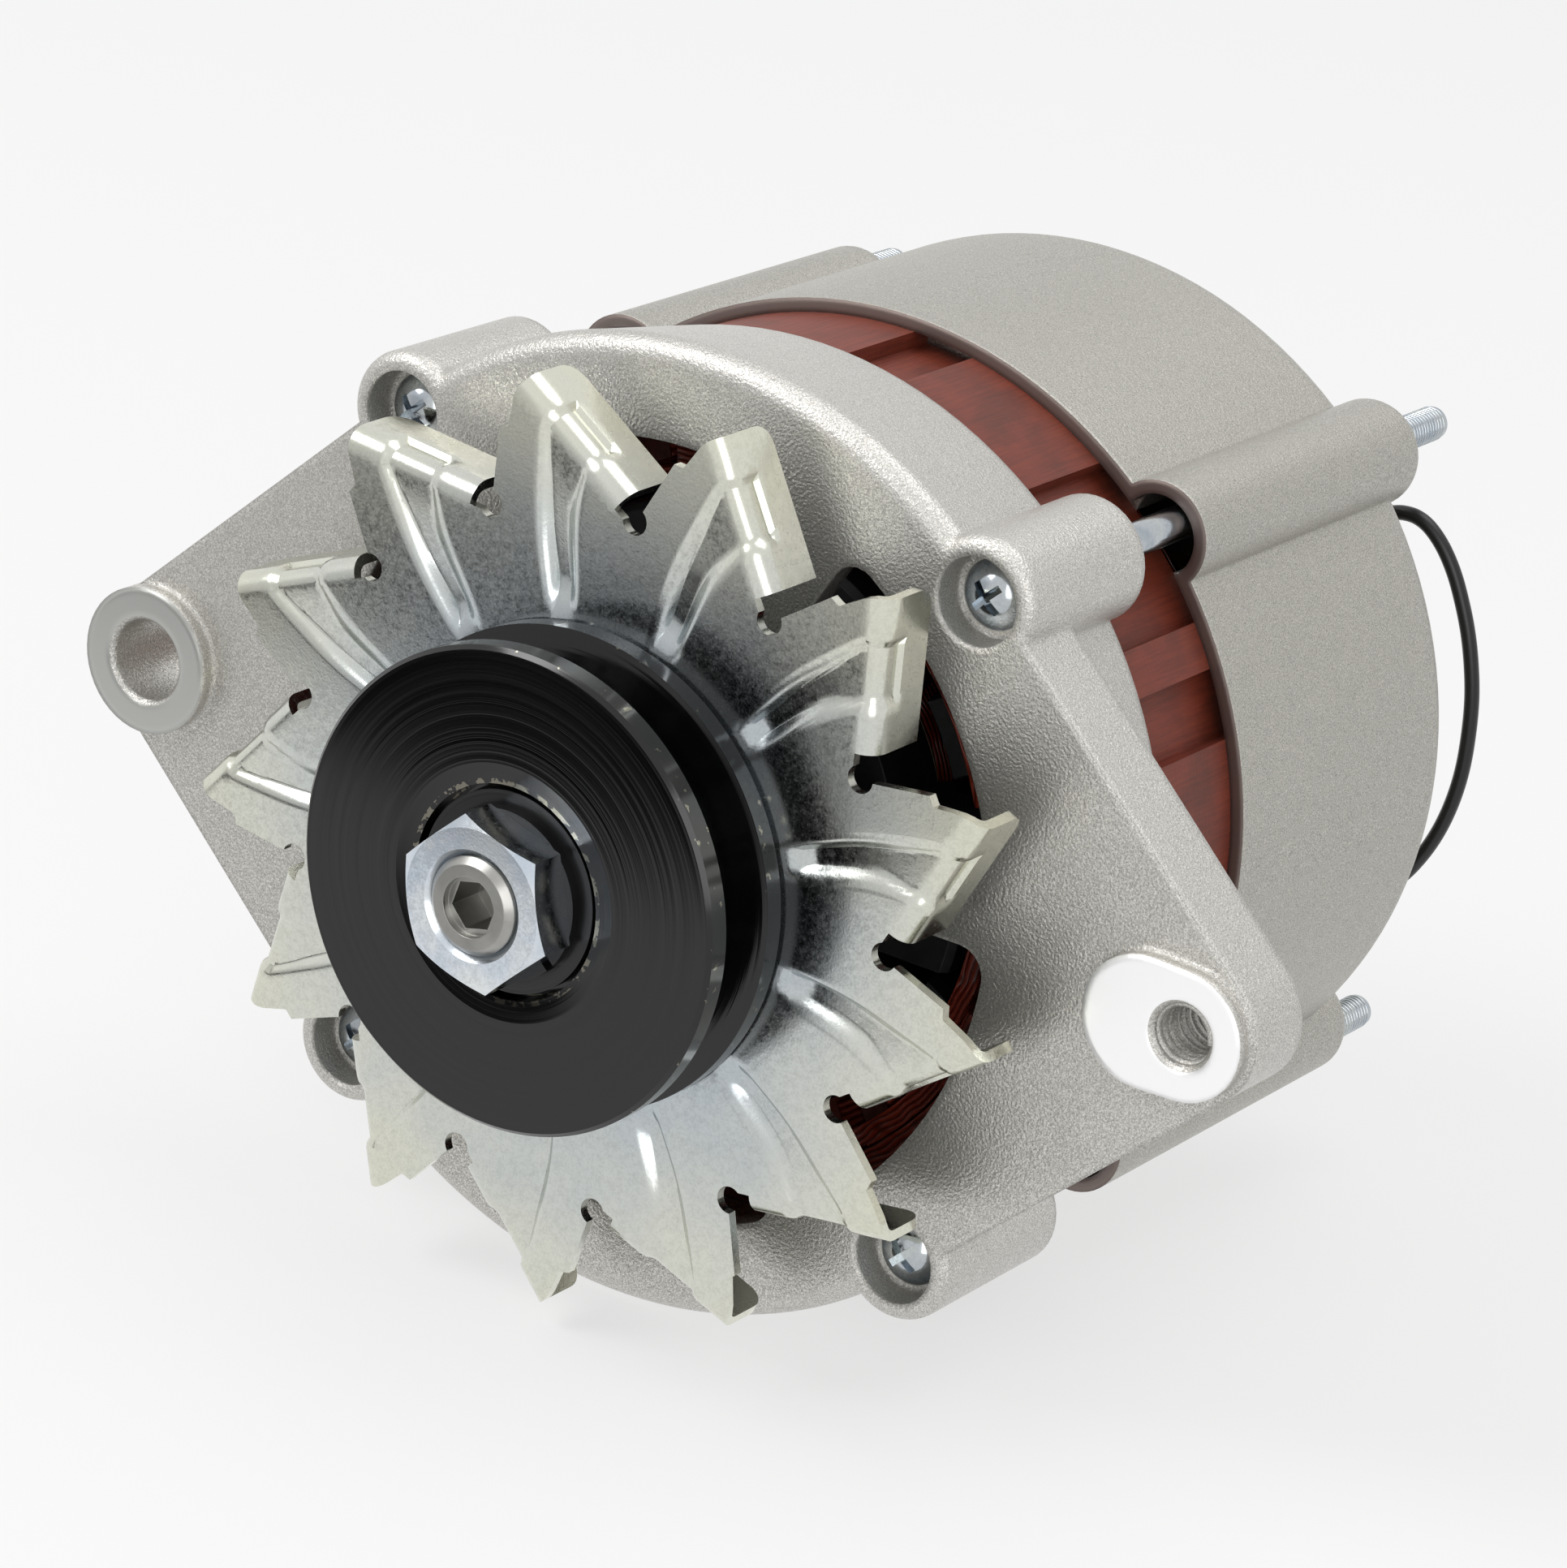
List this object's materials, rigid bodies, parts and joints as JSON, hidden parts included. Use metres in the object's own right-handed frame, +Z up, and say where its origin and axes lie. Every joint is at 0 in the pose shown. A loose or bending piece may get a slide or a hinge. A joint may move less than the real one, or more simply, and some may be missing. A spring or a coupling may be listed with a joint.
{
  "type": "vehicle alternator",
  "caption": "Claw-pole alternator with external fan, single-groove pulley, two mounting ears and rear terminals.",
  "frame": {"origin": "on the shaft axis, in the middle plane of the belt groove", "axes": "+X through the threaded adjuster ear, -Y along the shaft out of the pulley end, +Z up, square to the line through both ears"},
  "size_m": [0.2004, 0.1741, 0.142],
  "materials": {
    "bracket_casting": "shot-blasted cast aluminium",
    "housing_casting": "shot-blasted cast aluminium, finer grain",
    "stator_varnish": "laminated steel under red-brown varnish",
    "winding_wire": "enamelled copper wire",
    "bolt_zinc": "bright zinc-plated steel",
    "nut_zinc": "blue-white zinc-plated steel",
    "fan_zinc": "zinc-plated sheet steel, passivated",
    "pulley_black": "gloss black enamel over turned steel",
    "washer_black": "black oxide on steel",
    "machined_steel": "turned steel",
    "bearing_steel": "ground bearing steel",
    "cage_steel": "pressed steel ribbon",
    "seal_rubber": "moulded nitrile rubber",
    "pole_steel": "forged mild steel",
    "insulation_brown": "moulded phenolic",
    "board_green": "glass-fibre circuit board",
    "diode_metal": "nickel-plated diode case",
    "diode_black": "moulded epoxy",
    "heat_sink_aluminium": "stamped aluminium plate",
    "regulator_plastic": "moulded glass-filled polyamide",
    "regulator_metal": "die-cast aluminium",
    "stud_brass": "plated brass",
    "capacitor_can": "drawn aluminium can",
    "lead_pvc": "extruded soft vinyl",
    "bobbin_plastic": "moulded polyamide",
    "ring_copper": "turned copper",
    "brush_carbon": "pressed copper graphite",
    "spring_steel": "drawn spring wire"
  },
  "bodies": {
    "housing": {"drive_end_bracket": "bracket_casting", "rear_housing": "housing_casting", "stator_core": "stator_varnish", "phase_winding_a": "winding_wire", "phase_winding_b": "winding_wire", "phase_winding_c": "winding_wire", "upper_through_bolts": "bolt_zinc", "lower_through_bolts": "bolt_zinc", "front_bearing_outer_race": "bearing_steel", "front_bearing_seals": "seal_rubber", "bearing_retainer": "fan_zinc", "retainer_screws": "bolt_zinc", "rear_bearing_outer_race": "bearing_steel", "rear_bearing_seals": "seal_rubber", "positive_heat_sink": "heat_sink_aluminium", "negative_heat_sink": "heat_sink_aluminium", "positive_diodes": "diode_metal", "negative_diodes": "diode_metal", "exciter_board": "board_green", "exciter_diodes": "diode_black", "rectifier_insulators": "insulation_brown", "rectifier_screws": "bolt_zinc", "regulator_body": "regulator_plastic", "regulator_cover": "regulator_metal", "rear_mounting_screws": "bolt_zinc", "battery_stud": "stud_brass", "stud_insulators": "insulation_brown", "battery_nuts": "bolt_zinc", "lamp_stud": "stud_brass", "lamp_nuts": "bolt_zinc", "suppressor_capacitor": "capacitor_can", "capacitor_bracket": "fan_zinc", "suppressor_lead": "lead_pvc", "lead_terminal": "stud_brass", "front_brush_spring": "spring_steel", "rear_brush_spring": "spring_steel"},
    "rotor": {"rotor_shaft": "machined_steel", "pulley_nut": "nut_zinc", "spring_washer": "washer_black", "pulley_washer": "washer_black", "pulley": "pulley_black", "cooling_fan": "fan_zinc", "spacer_collar": "machined_steel", "front_bearing_inner_race": "bearing_steel", "front_pole_piece": "pole_steel", "rear_pole_piece": "pole_steel", "coil_bobbin": "bobbin_plastic", "field_coil": "winding_wire", "field_coil_leads": "winding_wire", "slip_ring_sleeve": "insulation_brown", "front_slip_ring": "ring_copper", "rear_slip_ring": "ring_copper", "rear_bearing_inner_race": "bearing_steel"},
    "front_cage": {"front_bearing_cage": "cage_steel"},
    "rear_cage": {"rear_bearing_cage": "cage_steel"},
    "front_brush": {"front_brush": "brush_carbon"},
    "rear_brush": {"rear_brush": "brush_carbon"}
  },
  "joints": [
    {"name": "rotor_spin", "type": "hinge", "parent": "housing", "child": "rotor", "pos_m": [0, 0.065, 0], "axis": [0, -1, 0], "continuous": true},
    {"name": "front_cage_spin", "type": "hinge", "parent": "housing", "child": "front_cage", "pos_m": [0, 0.0265, 0], "axis": [0, -1, 0], "continuous": true},
    {"name": "rear_cage_spin", "type": "hinge", "parent": "housing", "child": "rear_cage", "pos_m": [0, 0.1259, 0], "axis": [0, -1, 0], "continuous": true},
    {"name": "front_brush_slide", "type": "slide", "parent": "housing", "child": "front_brush", "axis": [0, 0, 1], "range_m": [0, 0.005], "stiffness_N_per_m": 400, "springref_m": -0.005, "deforming": ["front_brush_spring"]},
    {"name": "rear_brush_slide", "type": "slide", "parent": "housing", "child": "rear_brush", "axis": [0, 0, 1], "range_m": [0, 0.005], "stiffness_N_per_m": 400, "springref_m": -0.005, "deforming": ["rear_brush_spring"]}
  ],
  "couplings": [
    {"joint": "front_cage_spin", "follows": "rotor_spin", "ratio": 0.3596},
    {"joint": "rear_cage_spin", "follows": "rotor_spin", "ratio": 0.3636}
  ]
}
